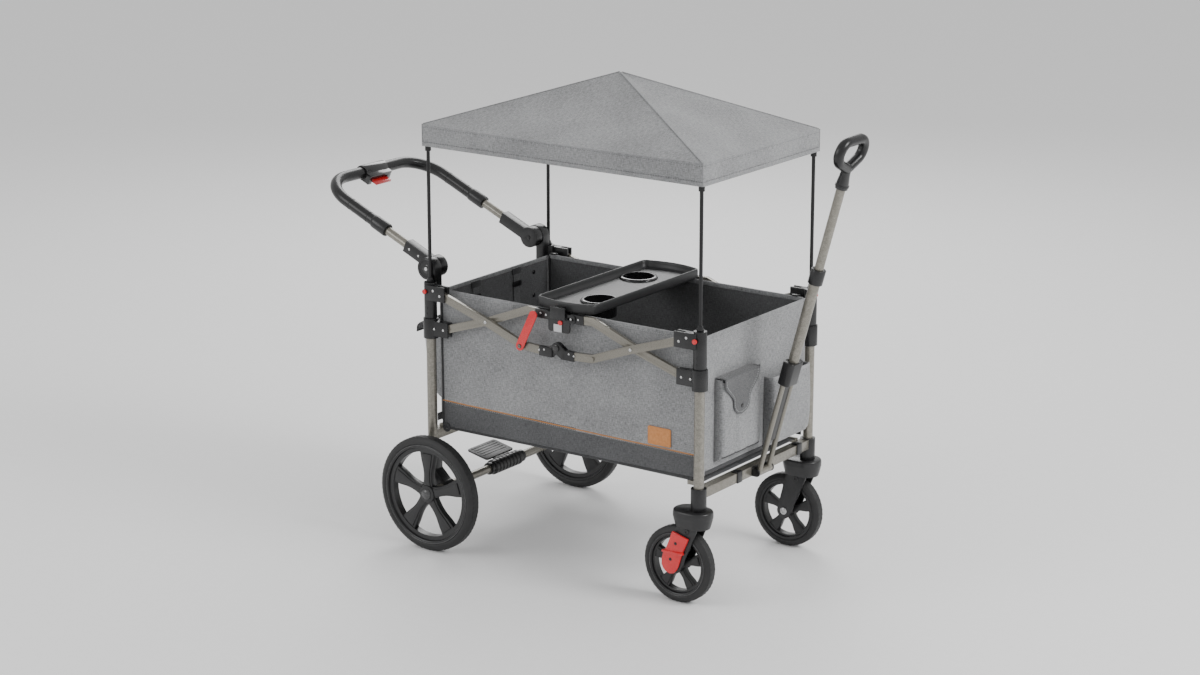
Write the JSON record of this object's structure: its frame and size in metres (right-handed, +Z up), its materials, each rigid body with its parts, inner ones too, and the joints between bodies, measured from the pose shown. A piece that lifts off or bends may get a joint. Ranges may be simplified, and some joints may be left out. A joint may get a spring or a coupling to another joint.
{
  "type": "folding pull wagon",
  "caption": "Folding pull wagon for children with a fabric basket, canopy, cup tray, telescoping pull handle, tilting push handle, large rear wheels and swivelling front castors.",
  "frame": {"origin": "on the floor, midway between the front and rear posts and between the sides", "axes": "+X points to the front, towards the pull handle, +Z points up, +Y points to the wagon's left"},
  "size_m": [1.4887, 0.666, 1.212],
  "materials": {
    "champagne": "satin champagne paint",
    "black_metal": "satin black paint",
    "fork_grey": "satin dark grey paint",
    "red_plastic": "glossy red",
    "black_plastic": "satin black",
    "handle_foam": "smooth satin padding",
    "handle_plastic": "satin black",
    "rib_grey": "plain grey rod",
    "rim_black": "satin black",
    "tyre": "matt black rubber",
    "fabric_grey": "light grey melange weave",
    "fabric_canopy": "light grey melange weave",
    "fabric_dark": "dark slate weave"
  },
  "bodies": {
    "rear_frame": {"rear_posts": "champagne", "rear_corner_joints": "black_plastic", "rear_beam": "champagne", "axle_brackets": "black_plastic", "rear_axle": "champagne", "handle_hinge_housings": "black_plastic", "rear_panel": "fabric_grey", "storage_bag": "fabric_grey", "side_panels": "fabric_grey", "bag_floor": "fabric_dark"},
    "storage_lid": {"storage_lid": "fabric_grey"},
    "brake": {"brake_pedal": "black_plastic"},
    "rear_wheel_near": {"rear_rim_near": "rim_black", "rear_tyre_near": "tyre"},
    "rear_wheel_far": {"rear_rim_far": "rim_black", "rear_tyre_far": "tyre"},
    "push_handle_lower": {"handle_paddles": "black_plastic", "handle_tubes": "champagne"},
    "push_handle_upper": {"handle_bow": "handle_foam", "handle_housing": "black_plastic"},
    "push_release": {"handle_lever": "red_plastic"},
    "outer_links_rear": {"rear_outer_bars": "champagne", "rear_knuckles": "black_plastic"},
    "outer_links_front": {"front_outer_bars": "champagne", "front_knuckles": "black_plastic"},
    "inner_links_rear": {"rear_inner_bars": "champagne", "rear_bar_ends": "black_plastic"},
    "inner_links_front": {"front_inner_bars": "champagne", "front_bar_ends": "black_plastic"},
    "sliders_rear": {"rear_sliders": "black_plastic"},
    "sliders_front": {"front_sliders": "black_plastic"},
    "centre_brackets": {"top_brackets": "black_plastic"},
    "fold_lock": {"lock_link": "red_plastic"},
    "tray": {"tray": "black_plastic", "tray_clips": "black_plastic"},
    "front_frame": {"front_posts": "champagne", "front_corner_joints": "black_plastic", "front_beam": "champagne", "pull_hinge_bracket": "black_plastic", "front_panel": "fabric_grey", "front_pockets": "fabric_grey"},
    "pocket_flap": {"pocket_flap": "fabric_grey"},
    "canopy": {"canopy_top": "fabric_canopy", "canopy_ribs": "rib_grey", "rear_poles": "black_metal"},
    "front_poles": {"front_poles": "black_metal"},
    "floor_rear": {"rear_floor_board": "fabric_dark"},
    "floor_front": {"front_floor_board": "fabric_dark"},
    "castor_near": {"castor_fork_near": "fork_grey"},
    "castor_far": {"castor_fork_far": "fork_grey"},
    "castor_lock_near": {"castor_lock_near": "red_plastic"},
    "castor_lock_far": {"castor_lock_far": "red_plastic"},
    "front_wheel_near": {"front_rim_near": "rim_black", "front_tyre_near": "tyre"},
    "front_wheel_far": {"front_rim_far": "rim_black", "front_tyre_far": "tyre"},
    "pull_handle_lower": {"pull_tubes": "champagne", "pull_collars": "black_plastic"},
    "pull_handle_upper": {"pull_inner_tube": "champagne", "pull_grip": "handle_plastic"}
  },
  "joints": [
    {"name": "frame_fold", "type": "hinge", "parent": "rear_frame", "child": "outer_links_rear", "pos_m": [-0.357, 0, 0.65], "axis": [0, 1, 0], "range_deg": [0, 55], "deforming": ["side_panels", "bag_floor", "canopy_top", "canopy_ribs"]},
    {"name": "lower_centre_hinge", "type": "hinge", "parent": "outer_links_rear", "child": "outer_links_front", "pos_m": [0, 0, 0.575], "axis": [0, -1, 0], "range_deg": [0, 110.01]},
    {"name": "front_upper_pin", "type": "hinge", "parent": "outer_links_front", "child": "front_frame", "pos_m": [0.357, 0, 0.65], "axis": [0, 1, 0], "range_deg": [0, 55.01]},
    {"name": "rear_crossing_pin", "type": "hinge", "parent": "outer_links_rear", "child": "inner_links_rear", "pos_m": [-0.217, 0, 0.605], "axis": [0, -1, 0], "range_deg": [0, 110.01]},
    {"name": "rear_slider_pin", "type": "hinge", "parent": "inner_links_rear", "child": "sliders_rear", "pos_m": [-0.357, 0, 0.56], "axis": [0, 1, 0], "range_deg": [0, 55.01]},
    {"name": "front_crossing_pin", "type": "hinge", "parent": "outer_links_front", "child": "inner_links_front", "pos_m": [0.217, 0, 0.605], "axis": [0, 1, 0], "range_deg": [0, 110.01]},
    {"name": "front_slider_pin", "type": "hinge", "parent": "inner_links_front", "child": "sliders_front", "pos_m": [0.357, 0, 0.56], "axis": [0, -1, 0], "range_deg": [0, 55.01]},
    {"name": "centre_bracket_pin", "type": "hinge", "parent": "inner_links_rear", "child": "centre_brackets", "pos_m": [-0.037, 0, 0.65], "axis": [0, 1, 0], "range_deg": [0, 55.01]},
    {"name": "floor_rear_pivot", "type": "hinge", "parent": "rear_frame", "child": "floor_rear", "pos_m": [-0.36, 0, 0.304], "axis": [0, -1, 0], "range_deg": [0, 67.11]},
    {"name": "floor_middle_pivot", "type": "hinge", "parent": "floor_rear", "child": "floor_front", "pos_m": [0, 0, 0.304], "axis": [0, 1, 0], "range_deg": [0, 134.21]},
    {"name": "fold_lock_swing", "type": "hinge", "parent": "outer_links_rear", "child": "fold_lock", "pos_m": [-0.106, 0, 0.564], "axis": [0, 1, 0], "range_deg": [-15, 60]},
    {"name": "tray_lift", "type": "slide", "parent": "centre_brackets", "child": "tray", "axis": [0, 0, 1], "range_m": [0, 0.06]},
    {"name": "canopy_lift", "type": "slide", "parent": "rear_frame", "child": "canopy", "axis": [0, 0, 1], "range_m": [0, 0.07]},
    {"name": "front_poles_lift", "type": "slide", "parent": "front_frame", "child": "front_poles", "axis": [0, 0, 1], "range_m": [0, 0.0701]},
    {"name": "push_handle_tilt", "type": "hinge", "parent": "rear_frame", "child": "push_handle_lower", "pos_m": [-0.422, 0, 0.705], "axis": [0, 1, 0], "range_deg": [-45, 45]},
    {"name": "push_handle_telescope", "type": "slide", "parent": "push_handle_lower", "child": "push_handle_upper", "axis": [-0.9135, 0, 0.4067], "range_m": [-0.055, 0.06]},
    {"name": "release_lever_press", "type": "hinge", "parent": "push_handle_upper", "child": "push_release", "pos_m": [-0.77596, 0, 0.85164], "axis": [0, 1, 0], "range_deg": [-10, 0], "stiffness_Nm_per_rad": 0.5, "springref_deg": 17.19},
    {"name": "pull_handle_tilt", "type": "hinge", "parent": "front_frame", "child": "pull_handle_lower", "pos_m": [0.428, 0, 0.278], "axis": [0, 1, 0], "range_deg": [-5, 60]},
    {"name": "pull_handle_telescope", "type": "slide", "parent": "pull_handle_lower", "child": "pull_handle_upper", "axis": [0.2656, 0, 0.9641], "range_m": [-0.18, 0]},
    {"name": "rear_wheel_near_spin", "type": "hinge", "parent": "rear_frame", "child": "rear_wheel_near", "pos_m": [-0.364, -0.31, 0.148], "axis": [0, 1, 0], "continuous": true},
    {"name": "castor_near_swivel", "type": "hinge", "parent": "front_frame", "child": "castor_near", "pos_m": [0.403, -0.246, 0.238], "axis": [0, 0, 1], "continuous": true},
    {"name": "front_wheel_near_spin", "type": "hinge", "parent": "castor_near", "child": "front_wheel_near", "pos_m": [0.351, -0.246, 0.095], "axis": [0, 1, 0], "continuous": true},
    {"name": "castor_lock_near_press", "type": "hinge", "parent": "castor_near", "child": "castor_lock_near", "pos_m": [0.365, -0.246, 0.153], "axis": [0, 1, 0], "range_deg": [-8, 4]},
    {"name": "rear_wheel_far_spin", "type": "hinge", "parent": "rear_frame", "child": "rear_wheel_far", "pos_m": [-0.364, 0.31, 0.148], "axis": [0, 1, 0], "continuous": true},
    {"name": "castor_far_swivel", "type": "hinge", "parent": "front_frame", "child": "castor_far", "pos_m": [0.403, 0.246, 0.238], "axis": [0, 0, 1], "continuous": true},
    {"name": "front_wheel_far_spin", "type": "hinge", "parent": "castor_far", "child": "front_wheel_far", "pos_m": [0.351, 0.246, 0.095], "axis": [0, 1, 0], "continuous": true},
    {"name": "castor_lock_far_press", "type": "hinge", "parent": "castor_far", "child": "castor_lock_far", "pos_m": [0.365, 0.246, 0.153], "axis": [0, 1, 0], "range_deg": [-8, 4]},
    {"name": "brake_pedal_press", "type": "hinge", "parent": "rear_frame", "child": "brake", "pos_m": [-0.364, 0, 0.148], "axis": [0, -1, 0], "range_deg": [0, 18]},
    {"name": "storage_lid_open", "type": "hinge", "parent": "rear_frame", "child": "storage_lid", "pos_m": [-0.395, 0, 0.585], "axis": [0, 1, 0], "range_deg": [0, 100]},
    {"name": "pocket_flap_open", "type": "hinge", "parent": "front_frame", "child": "pocket_flap", "pos_m": [0.4023, 0, 0.548], "axis": [0, -1, 0], "range_deg": [0, 25]}
  ],
  "couplings": [
    {"joint": "lower_centre_hinge", "follows": "frame_fold", "ratio": 2},
    {"joint": "front_upper_pin", "follows": "frame_fold", "ratio": 1},
    {"joint": "rear_crossing_pin", "follows": "frame_fold", "ratio": 2},
    {"joint": "rear_slider_pin", "follows": "frame_fold", "ratio": 1},
    {"joint": "front_crossing_pin", "follows": "frame_fold", "ratio": 2},
    {"joint": "front_slider_pin", "follows": "frame_fold", "ratio": 1},
    {"joint": "centre_bracket_pin", "follows": "frame_fold", "ratio": 1},
    {"joint": "floor_rear_pivot", "follows": "frame_fold", "ratio": 1.22},
    {"joint": "floor_middle_pivot", "follows": "frame_fold", "ratio": 2.44},
    {"joint": "front_poles_lift", "follows": "canopy_lift", "ratio": 1}
  ]
}
